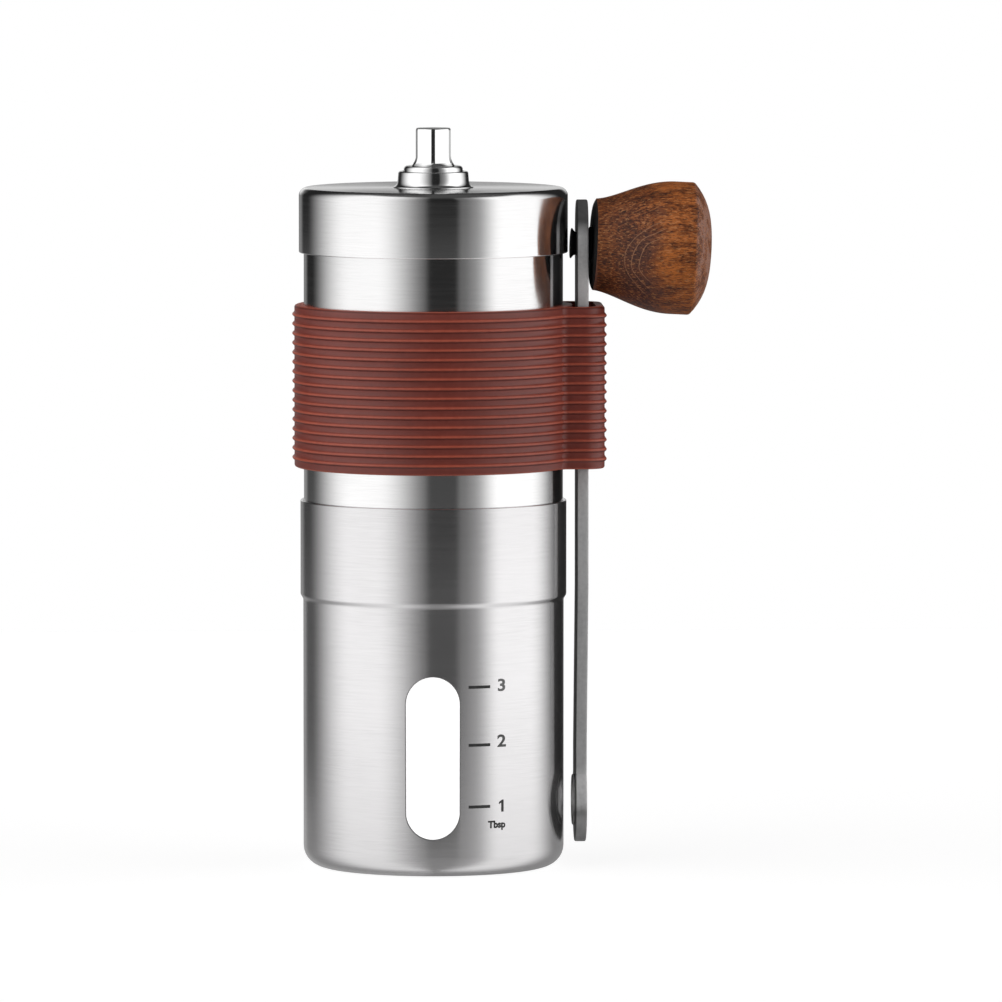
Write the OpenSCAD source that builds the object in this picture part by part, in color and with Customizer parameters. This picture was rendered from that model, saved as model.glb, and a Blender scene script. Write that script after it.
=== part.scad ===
// Hand crank coffee grinder: a slim steel tube mill with a catch cup, ceramic conical burrs,
// a ribbed silicone grip band and a crank that is stowed down the side of the tube.
// Millimetres, +Z up, origin at the centre of the underside of the cup.
// The viewing slot faces the front (-Y) and the stowed crank lies on the right (+X).

/* [Steel tube] */
// Outer radius of the tube that holds the mill
tube_r = 24; // [23.8:0.1:24.2]
// Thickness of the tube, cup and lid sheet
steel_wall = 0.6; // [0.5:0.05:0.6]
// Height of the tube's lower edge, inside the cup's collar
tube_low = 51.3; // [51.2:0.1:51.6]
// Height of the tube's upper edge, inside the lid
tube_high = 124; // [123:0.1:124.1]

/* [Cup] */
// How far the cup stands out from the tube below its shoulder
cup_step = 0.15; // [0.1:0.05:0.3]
// How far the cup's collar stands out from the tube
collar_step = 0.65; // [0.65:0.01:0.7]
// Height at which the cup starts to widen into its collar
shoulder_z = 49.2; // [48.8:0.1:49.4]
// Height of the widening
shoulder_h = 1.8; // [1.2:0.1:1.8]
// Height of the cup's rim
cup_h = 68.1; // [64:0.1:72]
// Radius of the rounded edge around the underside
cup_edge_r = 3.85; // [3:0.05:4]

/* [Viewing slot] */
// Width of the slot
slot_w = 10; // [8:0.5:12]
// Height of the slot's lower end
slot_low = 6.9; // [6:0.1:8]
// Height of the slot's upper end
slot_high = 37.3; // [34:0.1:40]
// Turn of the slot away from the front, in degrees
slot_turn = -2; // [-10:0.5:10]

/* [Lid] */
// Outer radius of the lid
lid_r = 24.9; // [24.8:0.05:25]
// Height of the lid's lower edge
lid_low = 114; // [112:0.5:116]
// Height of the lid's top face
lid_high = 126; // [126:0.1:126.3]
// Radius of the lid's rounded top edge
lid_edge_r = 1.5; // [1:0.1:3]

/* [Drive head] */
// Height of the top of the hexagon
hex_top = 137; // [136:0.5:139]
// Width of the hexagon across its flats
hex_flats = 6.44; // [6:0.02:6.5]

/* [Grip band] */
// Height of the band's lower edge
band_low = 74.3; // [74:0.1:80]
// Height of the band
band_h = 30; // [28:0.5:30]
// Thickness of the band
band_wall = 1.7; // [1.4:0.1:1.7]
// How far the ribs stand out
rib_out = 0.4; // [0.2:0.05:0.4]
// Number of ribs
ribs = 16; // [8:1:16]

/* [Crank] */
// Distance from the axis to the arm's inner face when it is stowed
arm_x = 26.45; // [26.4:0.05:26.6]
// Thickness of the arm
arm_t = 2.1; // [1.8:0.1:2.1]
// Width of the arm
arm_w = 11.5; // [11:0.5:12.5]
// Height of the arm's upper end when it is stowed
arm_top = 123.7; // [123:0.1:125]
// Height of the centre of the hub when the arm is stowed
hub_z = 12.1; // [12:0.1:16]
// Radius of the hub
hub_r = 7.8; // [7:0.1:8.1]
// How far the hub is set in towards the cup
arm_set = 0.3; // [0:0.05:0.45]

/* [Knob] */
// Radius of the knob beside the arm
neck_r = 8.5; // [8.2:0.1:9]
// Largest radius of the knob
belly_r = 12.3; // [11:0.1:12.5]
// Length of the wood
knob_l = 21.6; // [20:0.1:24]
// Angle at which the knob droops from level
knob_droop = 2.8; // [0:0.1:3]
// Angle at which the knob points away from the front, in degrees
knob_yaw = 2; // [0:0.5:2]

/* [Mill] */
// Radius of the drive shaft
shaft_r = 3; // [3:0.1:3.1]
// Clearance between the shaft and its bushes
run_gap = 0.05; // [0.03:0.01:0.08]
// Height of the underside of the ceramic ring burr
burr_low = 56; // [56:0.1:56.2]
// Height of the ceramic ring burr
burr_h = 13; // [12:0.5:13]
// Outer radius of the ceramic ring burr
burr_r = 19; // [18:0.5:19]

/* [Hidden] */
$fn = 96;

cut = 1;                               // how far a cutting solid runs past the face it opens
tube_in = tube_r - steel_wall;
plastic_r = tube_in - 0.05;            // everything pressed into the tube
cup_r = tube_r + cup_step;
collar_r = tube_r + collar_step;
shoulder_top = shoulder_z + shoulder_h;

liner_gap = 0.2;
liner_wall = 1.2;
liner_r = cup_r - steel_wall - liner_gap;
liner_top = shoulder_z - 0.7;

funnel_low = 76.6;
funnel_high = 90;
funnel_wall = 1.4;
throat_r = 14.2;
housing_top = 76.5;
spider_low = 71.4;
spider_hub_r = 6.4;
spider_arm_w = 2.6;
bush_r = 4.6;
flange_r = 6;
flange_h = 0.8;
retainer_h = 2.4;
screw_ring_r = 21.2;
screw_r = 1.1;
screw_head_r = 1.95;
screw_head_h = 1.4;
screw_depth = 7;

bridge_low = 112;
bridge_h = 6;
bridge_rim = 1.8;
bridge_hub_r = 8;
bridge_arm_w = 5;
head_low = 119.9;
head_r = 5.45;
head_shoulder = 130;
hex_low = 131.9;
hex_r = hex_flats / sqrt(3);
clip_z = 110.5;
clip_h = 0.8;

band_in = tube_r + 0.05;
band_r = band_in + band_wall;
pocket_x = 31.5;                       // outer face of the pocket for the arm
pocket_y = 10.2;                       // half of the pocket's outer width
pocket_wall = 1.6;
pocket_corner = 4;
rib_h = 0.8;

square_flats = 4.2;
square_low = 52;
square_high = 72;
thread_r = 2.5;
thread_low = 45.2;
shaft_end = 129;

cone_low = 55.4;
cone_high = 69.6;
cone_low_r = 12.7;
cone_mid_z = 61;
cone_mid_r = 11.3;
cone_high_r = 7.4;
cone_bore = 6.2;
driver_high = 63;
spring_r = 5;
spring_wire = 0.35;
spring_turns = 4.5;
nut_low = 46.6;
nut_high = 54.2;
insert_high = 50.6;                    // stays below the square when the nut is raised
nut_r = 9.4;
nut_lobes = 8;
lobe_r = 2.2;

collar_out_r = 7.5;
collar_top_r = 6.45;
collar_high = 129;
collar_bore = 5.65;
plug_r = 23.2;
plug_wall = 1.4;
plug_h = 5;

axle_z = 115.4;
axle_x = 29.8;                         // where the knob's wood starts, on the axle's line
axle_r = 2.5;
tail_r = 2.15;
tail_head_r = 2.8;
tail_s = -4.4;                         // along the axle, where its spread tail ends
rivet_collar_r = 3.2;
rivet_snap = 0.6;
bush_out_r = 3.6;
bush_end = 13.5;
ferrule_t = 0.45;
knob_bore_end = 16;
belly_s = 14.7;                        // along the knob, where the flare reaches its full radius
corner_s = knob_l - 3.5;               // along the knob, where its domed end starts
set_high = 52;                         // where the arm starts to lean in towards the cup
set_low = 22;                          // where it runs straight again
boss_h = 0.45;
boss_r = 4.7;

// ---- shapes used by several pieces ----

// A straight round sleeve between two heights
module sleeve(outer, inner, low, high) {
    translate([0, 0, low])
        difference() {
            cylinder(h = high - low, r = outer);
            translate([0, 0, -cut]) cylinder(h = high - low + 2 * cut, r = inner);
        }
}

// Half section of the cup, moved inward by inset, up to the height top
module cup_section(inset, top) {
    low_r = cup_r - inset;
    high_r = collar_r - inset;
    edge = cup_edge_r - inset;
    translate([0, inset]) square([low_r - edge, edge]);
    translate([low_r - edge, inset + edge]) circle(edge);
    translate([0, inset + edge]) square([low_r, shoulder_z - inset - edge]);
    polygon([[0, shoulder_z], [low_r, shoulder_z], [high_r, shoulder_top], [0, shoulder_top]]);
    translate([0, shoulder_top]) square([high_r, top - shoulder_top]);
}

// Half section of a drum with its top edge rounded
module drum_section(r, low, high, edge) {
    translate([0, low]) square([r, high - low - edge]);
    translate([0, high - edge]) square([r - edge, edge]);
    translate([r - edge, high - edge]) circle(edge);
}

// Spokes of a spider, from the axis out to length
module spokes(count, w, length, low, high) {
    for (i = [0:count - 1])
        rotate([0, 0, 360 / count * i + 90])
            translate([0, -w / 2, low]) cube([length, w, high - low]);
}

// Stands on the knob's drooping axis, +Z of the children running outward
module on_knob_axis() {
    translate([axle_x, 0, axle_z]) rotate([0, 90 + knob_droop, knob_yaw]) children();
}

// ---- cup ----

module cup_shell() {
    color("silver")
        difference() {
            rotate_extrude() cup_section(0, cup_h);
            rotate_extrude() cup_section(steel_wall, cup_h + cut);
            rotate([0, 0, slot_turn]) viewing_slot();
        }
}

module viewing_slot() {
    end_r = slot_w / 2;
    translate([-end_r, -cup_r - cut, slot_low + end_r])
        cube([slot_w, cup_r / 2, slot_high - slot_low - slot_w]);
    for (z = [slot_low + end_r, slot_high - end_r])
        translate([0, -cup_r / 2 - cut, z]) rotate([90, 0, 0]) cylinder(h = cup_r / 2, r = end_r);
}

module cup_liner() {
    edge = cup_edge_r;
    color("white")
        difference() {
            rotate_extrude() liner_section(0, edge, liner_top);
            rotate_extrude() liner_section(liner_wall, edge - liner_wall, liner_top + cut);
        }
}

module liner_section(inset, edge, top) {
    r = liner_r - inset;
    low = steel_wall + inset;
    translate([0, low]) square([r - edge, edge]);
    translate([r - edge, low + edge]) circle(edge);
    translate([0, low + edge]) square([r, top - low - edge]);
}

// ---- tube and what is fixed in it ----

module body_tube() {
    color("silver") sleeve(tube_r, tube_in, tube_low, tube_high);
}

module hopper_funnel() {
    color("dimgray")
        rotate_extrude()
            polygon([
                [throat_r, funnel_low],
                [throat_r + funnel_wall, funnel_low],
                [throat_r + funnel_wall, funnel_low + funnel_wall],
                [plastic_r, funnel_high - 3 * funnel_wall],
                [plastic_r, funnel_high],
                [plastic_r - funnel_wall, funnel_high],
                [plastic_r - funnel_wall, funnel_high - 2 * funnel_wall],
                [throat_r, funnel_low + 2 * funnel_wall]
            ]);
}

module burr_housing() {
    burr_top = burr_low + burr_h;
    color("dimgray")
        union() {
            difference() {
                sleeve(plastic_r, burr_r + 0.05, burr_low, burr_top);
                screw_places() cylinder(h = screw_depth - retainer_h, r = screw_r);
            }
            sleeve(plastic_r, throat_r, burr_top, spider_low);
            sleeve(plastic_r, throat_r, spider_low, housing_top);
            difference() {
                union() {
                    translate([0, 0, spider_low])
                        cylinder(h = housing_top - spider_low, r = spider_hub_r);
                    spokes(3, spider_arm_w, throat_r + cut, spider_low, housing_top);
                }
                translate([0, 0, spider_low - cut])
                    cylinder(h = housing_top - spider_low + 2 * cut, r = bush_r);
            }
        }
}

// The three places of the retainer's screws, on the underside of the housing
module screw_places() {
    for (i = [0:2])
        rotate([0, 0, 120 * i + 30]) translate([screw_ring_r, 0, burr_low]) children();
}

// The inner wall of the ring burr closes in on the cone from top to bottom
module outer_burr() {
    burr_top = burr_low + burr_h;
    color("ivory")
        difference() {
            rotate_extrude()
                polygon([
                    [13.5, burr_low],
                    [burr_r, burr_low],
                    [burr_r, burr_top],
                    [16.6, burr_top],
                    [14.1, burr_low + 6]
                ]);
            for (i = [0:17])
                rotate([0, 0, 20 * i])
                    translate([14.3, 0, burr_low + 8.5])
                        rotate([25, 18, 0])
                            translate([-1.6, -0.7, -2]) cube([3.2, 1.4, 10]);
        }
}

module burr_retainer() {
    low = burr_low - retainer_h;
    color("dimgray")
        difference() {
            sleeve(plastic_r - 0.1, 16.2, low, burr_low);
            screw_places() translate([0, 0, -retainer_h - cut]) cylinder(h = retainer_h + 2 * cut, r = screw_r);
        }
}

module retainer_screws() {
    color("gray")
        screw_places()
            difference() {
                union() {
                    translate([0, 0, -retainer_h]) cylinder(h = screw_depth, r = screw_r);
                    translate([0, 0, -retainer_h - screw_head_h])
                        cylinder(h = screw_head_h, r = screw_head_r);
                }
                translate([0, 0, -retainer_h - screw_head_h - cut])
                    cylinder(h = 0.8 + cut, r = 0.9, $fn = 6);
            }
}

module lower_bush() {
    color("goldenrod")
        union() {
            sleeve(bush_r, shaft_r + run_gap, spider_low, housing_top + 0.4);
            sleeve(flange_r, shaft_r + run_gap, spider_low - flange_h, spider_low);
        }
}

module shaft_bridge() {
    bridge_top = bridge_low + bridge_h;
    color("dimgray")
        union() {
            sleeve(plastic_r, plastic_r - bridge_rim, bridge_low, bridge_top);
            difference() {
                union() {
                    translate([0, 0, bridge_low]) cylinder(h = bridge_h, r = bridge_hub_r);
                    spokes(3, bridge_arm_w, plastic_r - bridge_rim / 2, bridge_low + 1, bridge_top - 1);
                }
                translate([0, 0, bridge_low - cut]) cylinder(h = bridge_h + 2 * cut, r = bush_r);
            }
        }
}

module upper_bush() {
    bridge_top = bridge_low + bridge_h;
    color("goldenrod")
        union() {
            sleeve(bush_r, shaft_r + run_gap, bridge_low - 0.4, bridge_top);
            sleeve(flange_r, shaft_r + run_gap, bridge_top, bridge_top + flange_h);
        }
}

// Outline of the band and its pocket, grown outward by grow
module band_outline(grow) {
    corner = pocket_corner + grow;
    x = pocket_x + grow;
    y = pocket_y + grow;
    circle(band_r + grow);
    translate([0, -y]) square([x - corner, 2 * y]);
    translate([0, -y + corner]) square([x, 2 * (y - corner)]);
    for (side = [-1, 1])
        translate([x - corner, side * (y - corner)]) circle(corner);
}

// The pocket's inside, between the ring and the pocket's outer wall
module pocket_outline() {
    corner = pocket_corner - pocket_wall;
    x = pocket_x - pocket_wall;
    y = pocket_y - pocket_wall;
    difference() {
        union() {
            translate([tube_r / 2, -y]) square([x - corner - tube_r / 2, 2 * y]);
            translate([tube_r / 2, -y + corner]) square([x - tube_r / 2, 2 * (y - corner)]);
            for (side = [-1, 1])
                translate([x - corner, side * (y - corner)]) circle(corner);
        }
        circle(band_r);
    }
}

module grip_band() {
    pitch = (band_h - rib_h) / (ribs + 0.5);
    color("sienna")
        translate([0, 0, band_low])
            difference() {
                union() {
                    linear_extrude(band_h) band_outline(0);
                    for (i = [1:ribs])
                        translate([0, 0, pitch * (i - 0.25)]) linear_extrude(rib_h) band_outline(rib_out);
                }
                translate([0, 0, -cut]) cylinder(h = band_h + 2 * cut, r = band_in);
                translate([0, 0, -cut]) linear_extrude(band_h + 2 * cut) pocket_outline();
            }
}

// ---- drive shaft ----

module main_shaft() {
    color("lightgray")
        union() {
            translate([0, 0, square_high]) cylinder(h = shaft_end - square_high, r = shaft_r);
            translate([-square_flats / 2, -square_flats / 2, square_low])
                cube([square_flats, square_flats, square_high - square_low]);
            translate([0, 0, thread_low]) cylinder(h = square_low - thread_low, r = thread_r);
        }
}

module drive_head() {
    color("gainsboro")
        difference() {
            union() {
                translate([0, 0, head_low]) cylinder(h = head_shoulder - head_low, r = head_r);
                translate([0, 0, head_shoulder])
                    cylinder(h = hex_low - head_shoulder, r1 = head_r - 0.6, r2 = hex_r + 0.15);
                translate([0, 0, hex_low])
                    rotate([0, 0, 30]) cylinder(h = hex_top - hex_low, r = hex_r, $fn = 6);
            }
            translate([0, 0, head_low - cut]) cylinder(h = shaft_end - head_low + cut, r = shaft_r);
        }
}

module thrust_washer() {
    low = bridge_low + bridge_h + flange_h + 0.15;
    color("silver") sleeve(flange_r, shaft_r + run_gap, low, low + 0.8);
}

module shaft_clip() {
    color("gray")
        difference() {
            sleeve(shaft_r + 1.6, shaft_r, clip_z, clip_z + clip_h);
            translate([0, -1.5, clip_z - cut]) cube([2 * shaft_r, 3, clip_h + 2 * cut]);
        }
}

// ---- burr that turns with the shaft ----

module inner_burr() {
    color("ivory")
        difference() {
            rotate_extrude()
                polygon([
                    [cone_bore, cone_low],
                    [cone_low_r, cone_low],
                    [cone_low_r, cone_low + 1.4],
                    [cone_mid_r, cone_mid_z],
                    [cone_high_r, cone_high],
                    [cone_bore, cone_high]
                ]);
            for (i = [0:11])
                rotate([0, 0, 30 * i])
                    translate([cone_mid_r - 0.6, 0, cone_mid_z])
                        rotate([-35, -25, 0])
                            translate([-0.6, -0.7, -2]) cube([3.2, 1.4, 14]);
        }
}

module burr_driver() {
    hole = square_flats + 2 * run_gap;
    color("gray")
        difference() {
            union() {
                translate([0, 0, cone_low]) cylinder(h = driver_high - cone_low, r = cone_bore);
                translate([0, 0, cone_low - 0.4]) cylinder(h = 0.4, r = cone_low_r - 2);
            }
            translate([-hole / 2, -hole / 2, cone_low - cut])
                cube([hole, hole, driver_high - cone_low + 2 * cut]);
        }
}

// Points of the wire's surface: each ring of the coil is a small polygon across the wire
spring_sides = 8;
spring_steps = 14;
spring_rings = spring_turns * spring_steps;
function spring_point(ring, side, low, high) =
    let (
        turn = 360 * ring / spring_steps,
        lift = low + spring_wire + (high - low - 2 * spring_wire) * ring / spring_rings,
        a = 360 * side / spring_sides,
        r = spring_r + spring_wire * cos(a)
    )
    [r * cos(turn), r * sin(turn), lift + spring_wire * sin(a)];

module burr_spring() {
    low = driver_high + 0.6;
    high = spider_low - flange_h - 0.1;
    last = spring_rings * spring_sides;
    points = [
        for (ring = [0:spring_rings]) for (side = [0:spring_sides - 1])
            spring_point(ring, side, low, high)
    ];
    walls = [
        for (ring = [0:spring_rings - 1]) for (side = [0:spring_sides - 1])
            let (next = (side + 1) % spring_sides, base = ring * spring_sides)
            [base + side, base + next, base + spring_sides + next, base + spring_sides + side]
    ];
    start = [for (side = [spring_sides - 1:-1:0]) side];
    end = [for (side = [0:spring_sides - 1]) last + side];
    color("lightsteelblue") polyhedron(points, concat(walls, [start], [end]));
}

module spring_washer() {
    color("silver") sleeve(cone_bore - 0.1, shaft_r + run_gap, driver_high, driver_high + 0.5);
}

// A steel plate with twelve notches that the nut clicks into
module click_washer() {
    low = cone_low - 1.2;
    color("silver")
        difference() {
            sleeve(8, shaft_r + run_gap, low, low + 0.8);
            for (i = [0:11])
                rotate([0, 0, 30 * i]) translate([6.4, 0, low - cut]) cylinder(h = 3, r = 0.6, $fn = 24);
        }
}

// ---- grind adjuster ----

module adjust_nut() {
    color("dimgray")
        difference() {
            union() {
                translate([0, 0, nut_low]) cylinder(h = nut_high - nut_low - 0.1, r = nut_r);
                for (i = [0:nut_lobes - 1])
                    rotate([0, 0, 360 / nut_lobes * i])
                        translate([nut_r - 0.6, 0, nut_low]) cylinder(h = nut_high - nut_low - 1, r = lobe_r);
            }
            translate([0, 0, nut_low - cut]) cylinder(h = nut_high - nut_low + 2 * cut, r = bush_r);
        }
}

module nut_insert() {
    color("goldenrod") sleeve(bush_r, thread_r + run_gap, nut_low, insert_high);
}

// ---- lid ----

module lid() {
    color("silver")
        difference() {
            rotate_extrude() drum_section(lid_r, lid_low, lid_high, lid_edge_r);
            rotate_extrude()
                drum_section(lid_r - steel_wall, lid_low - cut, lid_high - steel_wall, lid_edge_r - steel_wall);
            translate([0, 0, lid_low]) cylinder(h = lid_high - lid_low + cut, r = collar_bore + steel_wall);
        }
}

module lid_collar() {
    under = lid_high - steel_wall;
    color("gainsboro")
        rotate_extrude()
            polygon([
                [collar_bore, under - 0.6],
                [collar_out_r, under - 0.6],
                [collar_out_r, under],
                [collar_bore + steel_wall, under],
                [collar_bore + steel_wall, lid_high],
                [collar_out_r, lid_high],
                [collar_top_r, lid_high + 1.2],
                [collar_top_r, collar_high],
                [collar_bore, collar_high]
            ]);
}

module lid_plug() {
    top = lid_high - steel_wall;
    color("dimgray")
        union() {
            sleeve(plug_r - plug_wall, plug_r - 2 * plug_wall, top - 1, top);
            sleeve(plug_r, plug_r - 1.5 * plug_wall, top - plug_h, top - 1);
        }
}

// ---- crank ----

module arm_outline() {
    end_r = arm_w / 2;
    translate([-end_r, hub_z]) square([arm_w, arm_top - end_r - hub_z]);
    translate([0, arm_top - end_r]) circle(end_r);
    translate([0, hub_z]) circle(hub_r);
}

// The arm's edge as seen from the front: straight down, then set in towards the cup
module arm_edge() {
    low_x = arm_x - arm_set;
    polygon([
        [low_x, 0],
        [low_x + arm_t, 0],
        [low_x + arm_t, set_low],
        [arm_x + arm_t, set_high],
        [arm_x + arm_t, arm_top + cut],
        [arm_x, arm_top + cut],
        [arm_x, set_high],
        [low_x, set_low]
    ]);
}

module crank_arm() {
    socket_r = hex_r + 0.1;
    hub_x = arm_x - arm_set;
    color("darkgray")
        difference() {
            union() {
                intersection() {
                    translate([hub_x - cut, 0, 0])
                        rotate([90, 0, 90]) linear_extrude(arm_t + arm_set + 2 * cut) arm_outline();
                    translate([0, arm_w, 0]) rotate([90, 0, 0]) linear_extrude(2 * arm_w) arm_edge();
                }
                translate([hub_x - boss_h, 0, hub_z])
                    rotate([0, 90, 0]) cylinder(h = boss_h + arm_t / 2, r = boss_r);
            }
            translate([hub_x - boss_h - cut, 0, hub_z])
                rotate([0, 90, 0]) cylinder(h = arm_t + boss_h + 2 * cut, r = socket_r, $fn = 6);
            on_knob_axis() translate([0, 0, tail_s - cut]) cylinder(h = cut - tail_s, r = tail_r);
        }
}

// A shouldered rivet: its tail is spread behind the arm and its far end snaps behind the bush
module knob_axle() {
    arm_s = axle_x - arm_x - arm_t;
    color("black")
        on_knob_axis()
            rotate_extrude()
                polygon([
                    [0, tail_s],
                    [tail_head_r, tail_s],
                    [tail_head_r, tail_s + 0.25],
                    [tail_r, tail_s + 0.7],
                    [tail_r, -arm_s + 0.2],
                    [rivet_collar_r, -arm_s + 0.2],
                    [rivet_collar_r, -ferrule_t - 0.1],
                    [axle_r, -ferrule_t - 0.1],
                    [axle_r, bush_end + 0.1],
                    [axle_r + rivet_snap, bush_end + 0.1],
                    [axle_r, bush_end + 1.6],
                    [0, bush_end + 1.6]
                ]);
}

// Radius of the knob's flare, an S from the neck out to the belly
function flare_r(t) = neck_r + (belly_r - neck_r) * (1 - cos(180 * pow(t, 0.8))) / 2;

// Distance along the knob of its domed end, at a share of the full radius
function dome_s(share) = knob_l - (knob_l - corner_s) * pow(share, 3.2);

module knob() {
    steps = 14;
    flare = [for (i = [0:steps]) [flare_r(i / steps), belly_s * i / steps]];
    dome = [for (i = [6:-1:0]) [belly_r * i / 6, dome_s(i / 6)]];
    color("saddlebrown")
        on_knob_axis()
            difference() {
                rotate_extrude() polygon(concat([[0, 0]], flare, dome));
                translate([0, 0, -cut]) cylinder(h = knob_bore_end + cut, r = bush_out_r);
            }
}

module knob_bush() {
    color("black") on_knob_axis() sleeve(bush_out_r, axle_r + run_gap, 0, bush_end);
}

// A black disc with a chamfered rim, against the end of the wood
module knob_ferrule() {
    color("black")
        on_knob_axis()
            rotate_extrude()
                polygon([
                    [axle_r + 0.3, -ferrule_t],
                    [neck_r - 1.1, -ferrule_t],
                    [neck_r - 0.25, -0.1],
                    [neck_r - 0.25, 0],
                    [axle_r + 0.3, 0]
                ]);
}

// ---- nodes ----

cup_shell();
cup_liner();
body_tube();
hopper_funnel();
burr_housing();
outer_burr();
burr_retainer();
retainer_screws();
lower_bush();
shaft_bridge();
upper_bush();
grip_band();
main_shaft();
drive_head();
thrust_washer();
shaft_clip();
inner_burr();
burr_driver();
burr_spring();
spring_washer();
click_washer();
adjust_nut();
nut_insert();
lid();
lid_collar();
lid_plug();
crank_arm();
knob_axle();
knob();
knob_bush();
knob_ferrule();
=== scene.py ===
from math import atan2, cos, pi, radians, sin, sqrt

import bmesh
import bpy
from mathutils import Matrix, Vector


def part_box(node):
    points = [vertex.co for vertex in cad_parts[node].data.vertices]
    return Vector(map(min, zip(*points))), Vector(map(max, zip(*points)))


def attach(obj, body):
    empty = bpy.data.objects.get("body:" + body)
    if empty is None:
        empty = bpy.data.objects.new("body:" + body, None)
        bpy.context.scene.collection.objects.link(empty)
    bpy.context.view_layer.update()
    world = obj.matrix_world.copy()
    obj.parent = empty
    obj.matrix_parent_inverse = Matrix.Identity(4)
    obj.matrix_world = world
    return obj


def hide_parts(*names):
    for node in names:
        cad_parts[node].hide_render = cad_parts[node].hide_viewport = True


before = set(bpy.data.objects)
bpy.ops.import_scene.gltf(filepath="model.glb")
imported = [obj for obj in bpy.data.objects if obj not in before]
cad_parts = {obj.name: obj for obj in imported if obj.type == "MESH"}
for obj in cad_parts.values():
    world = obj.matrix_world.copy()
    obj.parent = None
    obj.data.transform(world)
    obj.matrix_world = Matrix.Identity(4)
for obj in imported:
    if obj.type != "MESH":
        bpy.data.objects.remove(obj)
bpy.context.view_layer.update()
mm = 0.001

# ---- camera ----
# A long lens looks slightly down on the grinder from the front, a little to the
# left of the viewing slot's own direction, as for a catalogue picture.

camera_turn = radians(-2)
camera_tilt = radians(4.349)
camera_distance = 2137 * mm
camera_height = 230.29 * mm
camera_shift_right = 12.53 * mm
frame_pixels = 1002
focal_pixels = 11557
sensor_mm = 36

right = Vector((cos(camera_turn), sin(camera_turn), 0))
camera = bpy.data.objects.new("camera", bpy.data.cameras.new("camera"))
camera.location = (
    camera_distance * Vector((sin(camera_turn), -cos(camera_turn), 0))
    + Vector((0, 0, camera_height))
    + right * camera_shift_right
)
camera.rotation_euler = (pi / 2 - camera_tilt, 0, camera_turn)
camera.data.sensor_width = sensor_mm
camera.data.lens = focal_pixels * sensor_mm / frame_pixels
camera.data.clip_start = 0.1
camera.data.clip_end = 20
bpy.context.collection.objects.link(camera)
bpy.context.scene.camera = camera
bpy.context.scene.view_settings.view_transform = "Standard"


# ---- studio: world, floor and lamps ----
# White floor that runs into a white backdrop, with large soft light from both sides.
# Dark gaps between the lights draw the dark stripes that polished round metal needs.


class Socket:
    """An output of a node, with arithmetic that adds Math nodes."""

    def __init__(self, tree, output):
        self.tree = tree
        self.output = output

    def math(self, operation, *others, flip=False):
        node = self.tree.nodes.new("ShaderNodeMath")
        node.operation = operation
        values = [self, *others]
        if flip:
            values.reverse()
        for place, value in enumerate(values):
            join(self.tree, value, node.inputs[place])
        return Socket(self.tree, node.outputs[0])

    def __add__(self, other):
        return self.math("ADD", other)

    def __radd__(self, other):
        return self.math("ADD", other)

    def __sub__(self, other):
        return self.math("SUBTRACT", other)

    def __rsub__(self, other):
        return self.math("SUBTRACT", other, flip=True)

    def __mul__(self, other):
        return self.math("MULTIPLY", other)

    def __rmul__(self, other):
        return self.math("MULTIPLY", other)

    def __truediv__(self, other):
        return self.math("DIVIDE", other)

    def ramp(self, low, high):
        """0 at low and 1 at high, smoothly."""
        node = self.tree.nodes.new("ShaderNodeMapRange")
        node.interpolation_type = "SMOOTHSTEP"
        for name, value in (("Value", self), ("From Min", low), ("From Max", high)):
            join(self.tree, value, node.inputs[name])
        return Socket(self.tree, node.outputs["Result"])


def join(tree, value, socket):
    if isinstance(value, Socket):
        tree.links.new(value.output, socket)
    else:
        socket.default_value = value


class Paint:
    """A material's or the world's node tree, with one method that adds any node."""

    def __init__(self, owner):
        owner.use_nodes = True
        self.tree = owner.node_tree
        self.owner = owner

    def node(self, kind, output=0, settings=None, **inputs):
        node = self.tree.nodes.new("ShaderNode" + kind)
        for name, value in (settings or {}).items():
            if name == "stops":
                self.set_stops(node.color_ramp, value)
            else:
                setattr(node, name, value)
        for name, value in inputs.items():
            place = int(name[1:]) if name[0] == "i" and name[1:].isdigit() else name.replace("_", " ")
            join(self.tree, value, node.inputs[place])
        return Socket(self.tree, node.outputs[output])

    def set_stops(self, ramp, stops):
        while len(ramp.elements) < len(stops):
            ramp.elements.new(1)
        for element, (place, colour) in zip(ramp.elements, stops):
            element.position = place
            element.color = (*colour, 1)

    def shader(self, **inputs):
        """Sets the Principled shader's sockets to constants or links."""
        node = self.tree.nodes["Principled BSDF"]
        for name, value in inputs.items():
            join(self.tree, value, node.inputs[name.replace("_", " ")])
        return self.owner

    def place(self, scale=(1, 1, 1), turn=(0, 0, 0), shift=(0, 0, 0)):
        """Object coordinates, shifted, turned and scaled."""
        here = self.node("TexCoord", "Object")
        return self.node("Mapping", Vector=here, Location=shift, Rotation=turn, Scale=scale)

    def noise(self, scale, place=None, detail=3, roughness=0.5, distortion=0):
        where = {"Vector": place} if place else {"Vector": self.place()}
        return self.node(
            "TexNoise", "Fac", Scale=scale, Detail=detail, Roughness=roughness,
            Distortion=distortion, **where,
        )

    def colours(self, factor, *stops):
        return self.node("ValToRGB", "Color", {"stops": stops}, Fac=factor)

    def blend(self, factor, first, second, kind="MIX"):
        settings = {"data_type": "RGBA", "blend_type": kind}
        return self.node("Mix", 2, settings, i0=factor, i6=first, i7=second)

    def bump(self, height, strength, distance):
        return self.node("Bump", "Normal", Height=height, Strength=strength, Distance=distance)


def material(name):
    return Paint(bpy.data.materials.new(name))


left_light = 1.17
right_light = 0.98
corner_light = 0.2
haze_light = 0.07
backdrop_light = 0.6
overhead_light = 0.06
fill_light = 0.02


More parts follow.
